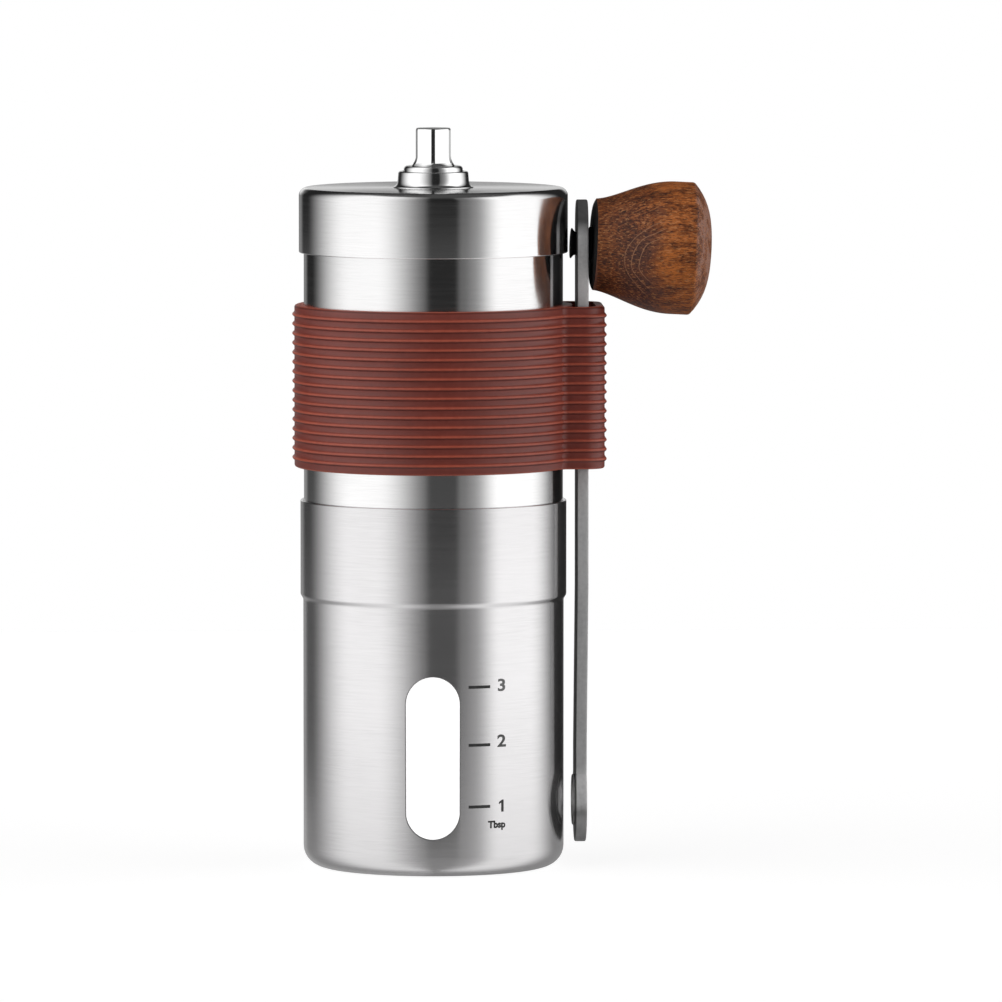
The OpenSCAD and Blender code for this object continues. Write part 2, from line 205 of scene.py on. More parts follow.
def panels_at(bearing, rise):
    """Brightness of the side panels, the far left corner and the haze low down, in that direction.

    bearing is in degrees from the camera's side, positive to the right, and rise is above level.
    """
    fading_left = (1 - bearing.ramp(-54, -2)) * left_light + (1 - bearing.ramp(-11, -4)) * 0.07
    left_panel = bearing.ramp(-140, -80) * fading_left * (1 - rise.ramp(56, 70))
    soft_edge = bearing.ramp(17, 24) * 0.14 + bearing.ramp(24, 38) * 0.17
    rising_right = soft_edge + bearing.ramp(34, 60) * right_light
    right_panel = rising_right * (1 - bearing.ramp(94, 138)) * (1 - rise.ramp(45, 57))
    corner = (1 - bearing.ramp(-162, -150)) * (1 - rise.ramp(8, 20)) * corner_light
    haze = (1 - rise.ramp(-4.8, -3.4)) * haze_light
    return left_panel + right_panel + corner + haze


world = bpy.data.worlds.new("studio")
bpy.context.scene.world = world
sky = Paint(world)
direction = sky.node("TexCoord", "Generated")
across = sky.node("SeparateXYZ", "X", Vector=direction)
along = sky.node("SeparateXYZ", "Y", Vector=direction)
bearing = across.math("ARCTAN2", 0 - along) * (180 / pi)
rise = sky.node("SeparateXYZ", "Z", Vector=direction).math("ARCSINE") * (180 / pi)
behind = bearing.math("ABSOLUTE").ramp(156, 172)
backdrop = behind * rise.ramp(0, 2) * (1 - rise.ramp(7, 14)) * backdrop_light
overhead = rise.ramp(30, 65) * overhead_light
glow = panels_at(bearing, rise) * rise.ramp(-60, -30) + backdrop + overhead + fill_light
seen_white = sky.node("LightPath", "Is Camera Ray")
strength = glow * (1 - seen_white) + seen_white
sky.tree.links.new(strength.output, sky.tree.nodes["Background"].inputs["Strength"])
sky.tree.nodes["Background"].inputs["Color"].default_value = (1, 1, 1, 1)

floor_front = -0.3
floor_back = 0.5
floor_half = 0.6
floor_white = 0.83
near_shade = 0.42
near_light = 0.22
floor_mesh = bmesh.new()
bmesh.ops.create_grid(floor_mesh, x_segments=1, y_segments=1, size=0.5)
bmesh.ops.scale(floor_mesh, vec=(2 * floor_half, floor_back - floor_front, 1), verts=floor_mesh.verts)
bmesh.ops.translate(floor_mesh, vec=(0, (floor_back + floor_front) / 2, 0), verts=floor_mesh.verts)
floor = bpy.data.objects.new("floor", bpy.data.meshes.new("floor"))
floor_mesh.to_mesh(floor.data)
floor_mesh.free()
bpy.context.collection.objects.link(floor)
floor_paint = material("floor_white")
coming = floor_paint.node("NewGeometry", "Incoming")
come_x = floor_paint.node("SeparateXYZ", "X", Vector=coming)
come_y = floor_paint.node("SeparateXYZ", "Y", Vector=coming)
come_z = floor_paint.node("SeparateXYZ", "Z", Vector=coming)
going = (0 - come_x).math("ARCTAN2", come_y) * (180 / pi)
sinking = (0 - come_z).math("ARCSINE") * (180 / pi)
floor_place = floor_paint.node("TexCoord", "Object")
from_axis = floor_paint.node("VectorMath", "Value", {"operation": "LENGTH"}, i0=floor_place)
close_by = 1 - from_axis.ramp(0.05, 0.2)
seen = floor_paint.node("LightPath", "Is Camera Ray")
mirrored = floor_paint.node("LightPath", "Is Glossy Ray")
floor_glow = panels_at(going, sinking) * (1 - close_by * near_shade) + close_by * near_light + fill_light
floor_paint.shader(
    Base_Color=floor_paint.blend(mirrored, (0.4, 0.4, 0.4, 1), (0.06, 0.06, 0.06, 1)),
    Roughness=0.9, Specular_IOR_Level=0.1, Emission_Color=(1, 1, 1, 1),
    Emission_Strength=seen * floor_white + mirrored * floor_glow,
)
floor.data.materials.append(floor_paint.owner)


# ---- steel tube ----
# The tube that everything is built into: rolled and welded stainless steel sheet,
# brushed around its axis and trimmed square, with its edges broken by hand.


def brushed_steel(name, tint, dullness, metal=1):
    """Stainless steel brushed around Z, with fine lines that run around the axis."""
    paint = material(name)
    lines = paint.noise(1, paint.place((160, 160, 9000)), detail=4, roughness=0.65)
    bands = paint.noise(1, paint.place((60, 60, 3200)), detail=3)
    smear = paint.noise(60, detail=2)
    grey = paint.colours(
        lines * 0.6 + smear * 0.4,
        (0.3, [c * 0.9 for c in tint]), (0.5, tint), (0.72, [c * 1.05 for c in tint]),
    )
    return paint.shader(
        Base_Color=grey,
        Metallic=metal,
        Roughness=dullness + lines * 0.06 + bands.ramp(0.35, 0.7) * 0.035 + smear * 0.03,
        Anisotropic=0.95,
        Anisotropic_Rotation=0.25,
        Normal=paint.bump(lines + bands * 0.4, 0.07, 0.00002),
    )


def new_piece(name, bm, paint, body, slot, *replaced, smooth_deg=32):
    """Makes the object of a finished bmesh, in the row frame, hangs it under its body and hides the
    parts it replaces.
    """
    mesh = bpy.data.meshes.new(name)
    bm.to_mesh(mesh)
    bm.free()
    piece = bpy.data.objects.new(name, mesh)
    bpy.context.collection.objects.link(piece)
    for face in mesh.polygons:
        face.use_smooth = True
    mesh.set_sharp_from_angle(angle=radians(smooth_deg))
    mesh.materials.append(paint)
    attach(piece, body)
    if replaced:
        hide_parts(*replaced)
    return piece


def turned(section, steps=192, arc=5):
    """A turned piece. section lists (radius, height, rounding) in mm, around the material."""
    bm = bmesh.new()
    corners = [bm.verts.new((row[0] * mm, 0, row[1] * mm)) for row in section]
    bm.faces.new(corners)
    rounded = [(vert, row[2]) for vert, row in zip(corners, section) if row[2] > 0]
    for vert, rounding in rounded:
        bmesh.ops.bevel(
            bm, geom=[vert], offset=rounding * mm, offset_type="OFFSET", segments=arc,
            profile=0.5, affect="VERTICES", material=-1,
        )
    bmesh.ops.delete(bm, geom=list(bm.faces), context="FACES_ONLY")
    on_axis = [e for e in bm.edges if all(v.co.x < 1e-7 for v in e.verts)]
    bmesh.ops.delete(bm, geom=on_axis, context="EDGES")
    bmesh.ops.spin(
        bm, geom=bm.verts[:] + bm.edges[:], cent=(0, 0, 0), axis=(0, 0, 1), dvec=(0, 0, 0),
        angle=2 * pi, steps=steps, use_merge=True, use_duplicate=False,
    )
    bmesh.ops.remove_doubles(bm, verts=bm.verts, dist=1e-7)
    bmesh.ops.recalc_face_normals(bm, faces=bm.faces)
    return bm


steel = brushed_steel("brushed_steel", (0.75, 0.745, 0.745), 0.08)
tube_r = 24
sheet = 0.6
tube_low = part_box("body_tube")[0].z / mm
tube_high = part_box("body_tube")[1].z / mm
tube = turned([
    (tube_r, tube_low, 0.2), (tube_r, tube_high, 0.2),
    (tube_r - sheet, tube_high, 0.2), (tube_r - sheet, tube_low, 0.2),
], steps=256)
new_piece("steel_tube", tube, steel, "body", "brushed_steel", "body_tube")


# ---- catch cup ----
# The lower cup that catches the grounds: drawn steel with a rounded foot, a small
# outward step up to its collar, and a stamped slot that shows how full it is.

cup_r = 24.15
collar_r = 24.65
cup_high = 68.1
shoulder_low = 49.75
shoulder_high = 50.55
foot_r = 3.85
slot_w = 10
slot_low = 6.9
slot_high = 37.3
slot_turn = radians(-2)
edge_spread = 2.35
edge_reach = 0.85
edge_taper = 2.4

cup = turned([
    (0, 0, 0), (cup_r, 0, foot_r), (cup_r, shoulder_low, 0.25), (collar_r, shoulder_high, 0.22),
    (collar_r, cup_high, 0.22), (collar_r - sheet, cup_high, 0.22),
    (collar_r - sheet, shoulder_high + 0.2, 0.5), (cup_r - sheet, shoulder_low + 0.3, 0.5),
    (cup_r - sheet, sheet, foot_r - sheet), (0, sheet, 0),
], steps=360, arc=8)
cup_steel = brushed_steel("brushed_cup_steel", (0.69, 0.68, 0.685), 0.14, metal=0.94)
cup_piece = new_piece("catch_cup", cup, cup_steel, "cup", "brushed_steel", "cup_shell")


def stadium(w, low, high, depth_from, depth_to, narrowing, arc=24):
    """A bar along Y with fully rounded ends above and below, narrower at its far end."""
    bm = bmesh.new()
    bmesh.ops.create_circle(bm, cap_ends=True, segments=2 * arc, radius=w / 2 * mm)
    upper = [v for v in bm.verts if v.co.y > -1e-9]
    lift = (high - low - w) * mm
    bmesh.ops.translate(bm, vec=(0, lift, 0), verts=upper)
    bmesh.ops.translate(bm, vec=(0, (low + w / 2) * mm, 0), verts=bm.verts)
    bmesh.ops.rotate(bm, cent=(0, 0, 0), matrix=Matrix.Rotation(pi / 2, 3, "X"), verts=bm.verts)
    bmesh.ops.translate(bm, vec=(0, depth_from * mm, 0), verts=bm.verts)
    grown = bmesh.ops.extrude_face_region(bm, geom=bm.faces[:])["geom"]
    moved = [v for v in grown if isinstance(v, bmesh.types.BMVert)]
    bmesh.ops.translate(bm, vec=(0, (depth_to - depth_from) * mm, 0), verts=moved)
    for end, lean in ((low + w / 2, -1), (high - w / 2, 1)):
        for vert in moved:
            if (vert.co.z / mm - (low + high) / 2) * lean > 0:
                offset = Vector((vert.co.x, 0, vert.co.z - end * mm))
                vert.co -= offset.normalized() * narrowing * mm
    bmesh.ops.recalc_face_normals(bm, faces=bm.faces)
    return bm


def cut_away(piece, cutter_bm, edge_shade_paint):
    """Cuts a bmesh's shape out of a piece, for good, and paints the cut edge."""
    mesh = bpy.data.meshes.new("cutter")
    mesh.materials.append(edge_shade_paint)
    cutter_bm.to_mesh(mesh)
    cutter_bm.free()
    cutter = bpy.data.objects.new("cutter", mesh)
    bpy.context.collection.objects.link(cutter)
    boolean = piece.modifiers.new("cut", "BOOLEAN")
    boolean.operation = "DIFFERENCE"
    boolean.solver = "EXACT"
    boolean.material_mode = "TRANSFER"
    boolean.object = cutter
    graph = bpy.context.evaluated_depsgraph_get()
    done = bpy.data.meshes.new_from_object(piece.evaluated_get(graph))
    piece.modifiers.clear()
    old = piece.data
    piece.data = done
    done.name = old.name
    bpy.data.meshes.remove(old)
    bpy.data.objects.remove(cutter)
    bpy.data.meshes.remove(mesh)


# Painted shade: the slot's cut wall gets a near-black colour that stands for the shadow line round the
# slot.
painted_shade_edge = material("slot_edge_painted_shade")
scored = painted_shade_edge.noise(2500, detail=2)
painted_shade_edge.shader(
    Base_Color=painted_shade_edge.colours(scored, (0.3, (0.05, 0.05, 0.05)), (0.7, (0.14, 0.14, 0.14))),
    Metallic=0.6,
    Roughness=0.6,
)
slot_bm = stadium(
    slot_w + edge_spread, slot_low - edge_reach, slot_high + edge_reach,
    -cup_r - 3, -cup_r + 5, edge_taper,
)
to_slot = Matrix.Rotation(slot_turn, 3, "Z")
bmesh.ops.rotate(slot_bm, cent=(0, 0, 0), matrix=to_slot, verts=slot_bm.verts)
cut_away(cup_piece, slot_bm, painted_shade_edge.owner)
cup_piece.data.set_sharp_from_angle(angle=radians(32))


# ---- cup liner ----
# A frosted plastic beaker pressed into the steel cup. It closes the slot,
# and the grounds show through it as a soft shadow.

liner_r = 23.35
liner_wall = 1.2
liner_high = 48.5
glowing_liner_paint = material("frosted_liner_painted_glow")
haze = glowing_liner_paint.noise(700, detail=3)
glowing_liner_paint.shader(
    Base_Color=glowing_liner_paint.colours(haze, (0.35, (0.93, 0.93, 0.925)), (0.65, (0.97, 0.97, 0.965))),
    Roughness=0.42 + haze * 0.12,
    # Painted light: the emission makes the liner glow white in the slot, though it is no lamp.
    Emission_Color=(1, 1, 1, 1),
    Emission_Strength=0.75,
    Normal=glowing_liner_paint.bump(haze, 0.1, 0.00003),
)
liner_in = liner_r - liner_wall
liner = turned([
    (0, sheet, 0), (liner_r, sheet, foot_r), (liner_r, liner_high, 0.4), (liner_in, liner_high, 0.4),
    (liner_in, sheet + liner_wall, foot_r - liner_wall), (0, sheet + liner_wall, 0),
], steps=160)
new_piece("cup_liner_beaker", liner, glowing_liner_paint.owner, "cup", "milky_plastic", "cup_liner")


# ---- measuring marks ----
# Lines and plain numbers burnt into the steel beside the slot, one line for
# each spoonful, with the unit under the lowest.


def laser_mark(name, shade):
    """Steel darkened by the marking laser, more or less deeply."""
    paint = material(name)
    grain = paint.noise(3000, detail=2)
    return paint.shader(
        Base_Color=paint.colours(grain, (0.3, (shade * 0.7,) * 3), (0.7, (shade * 1.3,) * 3)),
        Roughness=0.6,
        Metallic=0.3,
    )


mark_paint = laser_mark("laser_mark", 0.05)
number_shade = (0.06, 0.14, 0.24)
mark_lift = 0.02
mark_depth = 0.12
mark_from = 15.8
mark_to = 25.9
mark_w = 0.55
mark_z = (13.1, 24.5, 35.2)
number_at = 31.6
number_size = 3.1
number_widening = 1.25
number_lift = (0, 0.5, 0.1)
unit_at = 29.2
unit_z = 9.65
unit_size = 1.8
thicker = 0.08


def wrapped_on_cup(bm, at_deg, z):
    """Bends a flat drawing, X to the right and Y up, around the cup at that angle and height."""
    for vert in bm.verts:
        angle = slot_turn - pi / 2 + radians(at_deg) + vert.co.x / (cup_r * mm)
        radius = (cup_r + mark_lift) * mm + vert.co.z
        vert.co = Vector((radius * cos(angle), radius * sin(angle), z * mm + vert.co.y))
    bmesh.ops.recalc_face_normals(bm, faces=bm.faces)
    return bm


def drawn_text(words, size, widening=1):
    """Plain lettering as a thin closed mesh, centred on its origin."""
    curve = bpy.data.curves.new(words, "FONT")
    curve.body = words
    curve.size = size * mm
    curve.align_x = "CENTER"
    curve.align_y = "CENTER"
    curve.extrude = mark_depth / 2 * mm
    curve.offset = thicker * mm
    curve.resolution_u = 4
    text = bpy.data.objects.new(words, curve)
    bpy.context.collection.objects.link(text)
    graph = bpy.context.evaluated_depsgraph_get()
    mesh = bpy.data.meshes.new_from_object(text.evaluated_get(graph))
    bm = bmesh.new()
    bm.from_mesh(mesh)
    bmesh.ops.remove_doubles(bm, verts=bm.verts, dist=1e-7)
    bmesh.ops.translate(bm, vec=(0, 0, -mark_depth / 2 * mm), verts=bm.verts)
    bmesh.ops.scale(bm, vec=(widening, 1, 1), verts=bm.verts)
    bpy.data.objects.remove(text)
    bpy.data.meshes.remove(mesh)
    return bm


def drawn_one():
    """A plain 1: an upright stroke with a slanting flag."""
    bm = bmesh.new()
    stroke = (-0.1, -1.1), (0.42, -1.1), (0.42, 1.14), (0.1, 1.14)
    flag = (-0.58, 0.72), (-0.58, 0.3), (-0.1, 0.6)
    bm.faces.new([bm.verts.new((x * mm, y * mm, 0)) for x, y in stroke + flag])
    grown = bmesh.ops.extrude_face_region(bm, geom=bm.faces[:])["geom"]
    back = [v for v in grown if isinstance(v, bmesh.types.BMVert)]
    bmesh.ops.translate(bm, vec=(0, 0, -mark_depth * mm), verts=back)
    return bm


for count, (z, lift, shade) in enumerate(zip(mark_z, number_lift, number_shade), 1):
    line = bmesh.new()
    bmesh.ops.create_grid(line, x_segments=12, y_segments=1, size=0.5)
    length = radians(mark_to - mark_from) * cup_r
    bmesh.ops.scale(line, vec=(length * mm, mark_w * mm, 1), verts=line.verts)
    grown = bmesh.ops.extrude_face_region(line, geom=line.faces[:])["geom"]
    back = [v for v in grown if isinstance(v, bmesh.types.BMVert)]
    bmesh.ops.translate(line, vec=(0, 0, -mark_depth * mm), verts=back)
    wrapped_on_cup(line, (mark_from + mark_to) / 2, z)
    new_piece(f"mark_line_{count}", line, mark_paint, "cup", "brushed_steel")
    drawing = drawn_one() if count == 1 else drawn_text(str(count), number_size, number_widening)
    number = wrapped_on_cup(drawing, number_at, z + lift)
    number_paint = laser_mark(f"laser_number_{count}", shade)
    new_piece(f"mark_number_{count}", number, number_paint, "cup", "brushed_steel")
unit = wrapped_on_cup(drawn_text("Tbsp", unit_size), unit_at, unit_z)
new_piece("mark_unit", unit, mark_paint, "cup", "brushed_steel")


# ---- lid ----
# A drawn steel cap, brushed like the tube, with a soft top edge. It is pushed over
# the tube's rim, and a polished collar is spun into the hole that the drive head fills.

lid_r = 24.9
lid_low = 114
lid_high = 126
lid_edge_r = 1.5
hole_r = 6.25
lid = turned([
    (lid_r, lid_low, 0.22), (lid_r, lid_high, lid_edge_r), (hole_r, lid_high, 0),
    (hole_r, lid_high - sheet, 0), (lid_r - sheet, lid_high - sheet, lid_edge_r - sheet),
    (lid_r - sheet, lid_low, 0.22),
], steps=256, arc=10)
new_piece("steel_lid", lid, steel, "lid", "brushed_steel", "lid")

polish = material("polished_steel")
swirl = polish.noise(400, detail=4)
polish.shader(
    Base_Color=polish.colours(swirl, (0.3, (0.80, 0.80, 0.80)), (0.7, (0.88, 0.88, 0.88))),
    Metallic=1,
    Roughness=0.07 + swirl * 0.07,
    Normal=polish.bump(swirl, 0.04, 0.00002),
)
collar_bore = 5.65
collar_low = 124.8
collar_top = 129
collar_top_r = 6.45
flange_under = 7.5
flare_steps = 8
flare = []
for step in range(flare_steps + 1):
    angle = radians(90 * step / flare_steps)
    flare.append((7.4 - 0.85 * cos(angle), 127.75 - 1.6 * sin(angle), 0))
collar = turned([
    (collar_bore, collar_low, 0.1), (flange_under, collar_low, 0.15),
    (flange_under, lid_high - sheet, 0.1), (hole_r, lid_high - sheet, 0),
    (hole_r, lid_high, 0), (7.45, lid_high, 0.05), *reversed(flare),
    (collar_top_r, collar_top, 0.3), (collar_bore, collar_top, 0.25),
], steps=128, arc=6)
new_piece("lid_collar_ring", collar, polish.owner, "lid", "polished_steel", "lid_collar")


# ---- drive head ----
# Turned and milled from one bar, then polished: a round flange that fills the lid's
# collar, and a hexagon with broken edges that sweeps out to the flange at its foot.

head_low = 119.9
flange_r = 5.45
flange_top = 130
hex_r = 3.718
hex_top = 137
foot_steps = 8
foot_h = 1.9
foot_spread = 0.24
socket_bore_r = 3
socket_top = 129
sunk = 0.05
top_round = 0.45
round_steps = 4

head = turned([
    (socket_bore_r, head_low, 0.1), (flange_r, head_low, 0.3), (flange_r, flange_top - 0.35, 0.25),
    (flange_r - 0.3, flange_top, 0.2), (0, flange_top, 0), (0, socket_top, 0),
    (socket_bore_r, socket_top, 0),
], steps=128)
hexagon = bmesh.new()
bmesh.ops.create_circle(hexagon, cap_ends=True, segments=6, radius=hex_r * mm)
bmesh.ops.rotate(hexagon, cent=(0, 0, 0), matrix=to_slot, verts=hexagon.verts)
bmesh.ops.bevel(
    hexagon, geom=hexagon.verts[:], offset=0.4 * mm, offset_type="OFFSET", segments=1,
    profile=0.5, affect="VERTICES", material=-1,
)
bmesh.ops.translate(hexagon, vec=(0, 0, (flange_top - sunk) * mm), verts=hexagon.verts)
spread = 1 + foot_spread
bmesh.ops.scale(hexagon, vec=(spread, spread, 1), verts=hexagon.verts)


def raise_cap(bm, lift, scale):
    """Extrudes the top cap up by lift mm and scales it about the axis."""
    top = max(bm.faces, key=lambda f: (f.calc_center_median().z, len(f.verts)))
    grown = bmesh.ops.extrude_face_region(bm, geom=[top])["geom"]
    verts = [v for v in grown if isinstance(v, bmesh.types.BMVert)]
    bmesh.ops.delete(bm, geom=[top], context="FACES_ONLY")
    bmesh.ops.translate(bm, vec=(0, 0, lift * mm), verts=verts)
    bmesh.ops.scale(bm, vec=(scale, scale, 1), verts=verts)


for step in range(foot_steps):
    done = (step + 1) / foot_steps
    wanted = 1 + foot_spread * (1 - done) ** 2
    raise_cap(hexagon, foot_h / foot_steps, wanted / spread)
    spread = wanted
raise_cap(hexagon, hex_top - top_round - flange_top + sunk - foot_h, 1)
for step in range(round_steps):
    here, there = radians(90 * step / round_steps), radians(90 * (step + 1) / round_steps)
    now = hex_r - top_round * (1 - cos(here))
    then = hex_r - top_round * (1 - cos(there))
    raise_cap(hexagon, top_round * (sin(there) - sin(here)), then / now)
bmesh.ops.recalc_face_normals(hexagon, faces=hexagon.faces)
part = bpy.data.meshes.new("hexagon")
hexagon.to_mesh(part)
hexagon.free()
head.from_mesh(part)
bpy.data.meshes.remove(part)
new_piece(
    "drive_head_hexagon", head, polish.owner, "spindle", "polished_steel", "drive_head", smooth_deg=25
)


# ---- grip band ----
# Moulded silicone, stretched over the tube: raised ribs all round, and a pocket on
# the right whose open ends take the crank's arm.

band_low = 74.3
band_high = 104.3
band_in = 24.06
band_r = 25.75
rib_out = 0.4
ribs = 16
pocket_x = 31.5
pocket_y = 10.2
pocket_corner = 4
pocket_wall = 1.6
pocket_in_corner = 2.4
throat_fillet = 1.2
end_plain = 0.4

silicone = material("silicone")
dust = silicone.noise(900, detail=3)
mottle = silicone.noise(90, detail=2)
rubbed = silicone.colours(
    mottle * 0.6 + dust * 0.4,
    (0.3, (0.28, 0.052, 0.032)), (0.5, (0.335, 0.064, 0.039)), (0.72, (0.39, 0.081, 0.051)),
)
rib_pitch = (band_high - band_low - 2 * end_plain) / (ribs + 0.5)
up_band = silicone.node("SeparateXYZ", "Z", Vector=silicone.node("TexCoord", "Object"))
first_rib = band_low + end_plain - 0.25 * rib_pitch
in_pitch = ((up_band - first_rib * mm) / (rib_pitch * mm) + 0.5).math("FRACT")
# Painted light and shade: along each rib a bright line is painted on its crest and a dark line just
# under it, repeating with the rib pitch.
painted_rib_highlight_and_shadow = silicone.colours(
    in_pitch,
    (0, (0.78, 0.80, 0.92)), (0.22, (0.86, 0.88, 1.0)),
    (0.30, (0.45, 0.38, 0.38)), (0.38, (0.5, 0.42, 0.42)),
    (0.48, (1.6, 1.72, 1.62)), (0.60, (1.7, 1.82, 1.72)),
    (0.70, (0.9, 0.85, 0.85)), (0.78, (0.78, 0.80, 0.92)),
)
silicone.shader(
    Base_Color=silicone.blend(1, rubbed, painted_rib_highlight_and_shadow, "MULTIPLY"),
    Roughness=0.34 + dust * 0.14,
    Specular_IOR_Level=0.5,
    Normal=silicone.bump(dust, 0.12, 0.00004),
)


def band_loop(bm, z, ring_r, x, y, corner, arc_steps=150):
    """The outline of the ring and its pocket at one height, as a face."""
    meet = atan2(y, sqrt(ring_r ** 2 - y ** 2))
    first = bm.verts.new((ring_r * mm * cos(meet), ring_r * mm * sin(meet), z * mm))
    bmesh.ops.spin(
        bm, geom=[first], cent=(0, 0, z * mm), axis=(0, 0, 1), dvec=(0, 0, 0),
        angle=2 * (pi - meet), steps=arc_steps,
    )
    bm.verts.ensure_lookup_table()
    ends = [v for v in bm.verts if len(v.link_edges) == 1]
    ends.sort(key=lambda v: v.co.y)
    low_corner = bm.verts.new((x * mm, -y * mm, z * mm))
    high_corner = bm.verts.new((x * mm, y * mm, z * mm))
    bm.edges.new((ends[0], low_corner))
    bm.edges.new((low_corner, high_corner))
    bm.edges.new((high_corner, ends[1]))
    bmesh.ops.contextual_create(bm, geom=bm.edges[:])
    for verts, size in ((ends, throat_fillet), ((low_corner, high_corner), corner)):
        bmesh.ops.bevel(
            bm, geom=list(verts), offset=size * mm, offset_type="OFFSET", segments=10,
            profile=0.5, affect="VERTICES", material=-1,
        )


def rib_profile():
    """(height, how far out) up the band's outer face, in mm, with a rounded rib at each pitch."""
    points = [(0, -0.35), (0.12, -0.12), (0.35, 0)]
    for rib in range(1, ribs + 1):
        middle = rib_pitch * (rib - 0.25) + end_plain
        for step in range(9):
            t = step / 8
            points.append((middle - 0.5 + t, rib_out * sin(pi * t) ** 1.3))
    tall = band_high - band_low
    return points + [(tall - 0.35, 0), (tall - 0.12, -0.12), (tall, -0.35)]


band = bmesh.new()
band_loop(band, band_low, band_r, pocket_x, pocket_y, pocket_corner)
outline = list(band.faces)[0]
ring = [loop.vert for loop in outline.loops]
outward = {}
for here, vert in enumerate(ring):
    before, after = ring[here - 1].co, ring[(here + 1) % len(ring)].co
    way = (after - before).normalized()
    outward[vert] = Vector((way.y, -way.x, 0))
if sum(outward[v].dot(v.co) for v in ring) < 0:
    outward = {v: -way for v, way in outward.items()}
bmesh.ops.delete(band, geom=[outline], context="FACES_ONLY")
edges = list(band.edges)
height_now = 0
profile = rib_profile()
out_now = profile[0][1]
for vert in ring:
    vert.co += outward[vert] * out_now * mm
bottom_edges = list(edges)
for height_next, out_next in profile[1:]:
    grown = bmesh.ops.extrude_edge_only(band, edges=edges)["geom"]
    new_verts = {v for v in grown if isinstance(v, bmesh.types.BMVert)}
    edges = [e for e in grown if isinstance(e, bmesh.types.BMEdge)]
    followed = {}
    for vert in new_verts:
        below = next(e.other_vert(vert) for e in vert.link_edges if e.other_vert(vert) not in new_verts)
        followed[vert] = outward[below]
    outward.update(followed)
    for vert in new_verts:
        vert.co += outward[vert] * (out_next - out_now) * mm
        vert.co.z += (height_next - height_now) * mm
    height_now, out_now = height_next, out_next
top_edges = list(edges)


def inner_wall(bm, build, low, high):
    """Adds a wall on an outline drawn by build, from low to high, and returns its two rims."""
    before = set(bm.edges)
    build()
    rim = [e for e in bm.edges if e not in before]
    faces = [f for f in bm.faces if all(e in rim for e in f.edges)]
    bmesh.ops.delete(bm, geom=faces, context="FACES_ONLY")
    grown = bmesh.ops.extrude_edge_only(bm, edges=rim)["geom"]
    verts = [v for v in grown if isinstance(v, bmesh.types.BMVert)]
    bmesh.ops.translate(bm, vec=(0, 0, (high - low) * mm), verts=verts)
    return rim, [e for e in grown if isinstance(e, bmesh.types.BMEdge)]


def draw_bore():
    made = bmesh.ops.create_circle(band, cap_ends=False, segments=160, radius=band_in * mm)
    bmesh.ops.translate(band, vec=(0, 0, band_low * mm), verts=made["verts"])


def draw_pocket():
    """The pocket's inside: the ring's outer face on one side and a rounded box on the other."""
    x, y = pocket_x - pocket_wall, pocket_y - pocket_wall
    meet = atan2(y, sqrt(band_r ** 2 - y ** 2))
    first = band.verts.new((band_r * mm * cos(-meet), band_r * mm * sin(-meet), band_low * mm))
    known = set(band.verts)
    bmesh.ops.spin(
        band, geom=[first], cent=(0, 0, band_low * mm), axis=(0, 0, 1), dvec=(0, 0, 0),
        angle=2 * meet, steps=24,
    )
    arc = [first] + [v for v in band.verts if v not in known]
    arc.sort(key=lambda v: v.co.y)
    low_corner = band.verts.new((x * mm, -y * mm, band_low * mm))
    high_corner = band.verts.new((x * mm, y * mm, band_low * mm))
    band.faces.new([*arc, high_corner, low_corner])
    bmesh.ops.bevel(
        band, geom=[low_corner, high_corner], offset=pocket_in_corner * mm,
        offset_type="OFFSET", segments=8, profile=0.5, affect="VERTICES", material=-1,
    )


bore_low, bore_high = inner_wall(band, draw_bore, band_low, band_high)
pocket_low, pocket_high = inner_wall(band, draw_pocket, band_low, band_high)
for rims in (bottom_edges + bore_low + pocket_low, top_edges + bore_high + pocket_high):
    bmesh.ops.triangle_fill(band, use_beauty=True, edges=rims)
bmesh.ops.recalc_face_normals(band, faces=band.faces)
new_piece("silicone_band", band, silicone.owner, "body", "silicone", "grip_band", smooth_deg=50)


# ---- crank arm ----
# A stamped steel bar with rounded ends, tumbled to a soft satin. Its wider lower end
# is a hub with a hexagonal hole, raised a little on the side that meets the drive head.

arm_x = 26.45
arm_t = 2.1
arm_w = 11.5
arm_top = 123.7
arm_set = 0.3
set_high = 52
set_low = 22
hub_z = 12.1
hub_r = 7.8
boss_r = 4.7
boss_h = 0.45
boss_round = 0.16
socket_r = 3.818
arm_round = 0.28

satin = material("satin_steel")
tumble = satin.noise(1, satin.place((260, 260, 60)), detail=4, roughness=0.6)
specks = satin.noise(1400, detail=2)
satin_grey = satin.colours(
    tumble * 0.75 + specks * 0.25,
    (0.32, (0.70, 0.70, 0.70)), (0.5, (0.90, 0.90, 0.90)), (0.64, (1, 1, 1)),
)
# Height over which painted light and shade runs up the arm.
painted_shade_span = 128
up_arm = satin.node("SeparateXYZ", "Z", Vector=satin.node("TexCoord", "Object")) / (painted_shade_span * mm)
sideways = satin.node("SeparateXYZ", "X", Vector=satin.node("TexCoord", "Normal"))
# Painted shade: faces that turn towards the cup are painted nearly black, as if in shadow.
painted_shade_facing_cup = (0 - sideways).ramp(0.3, 0.8)
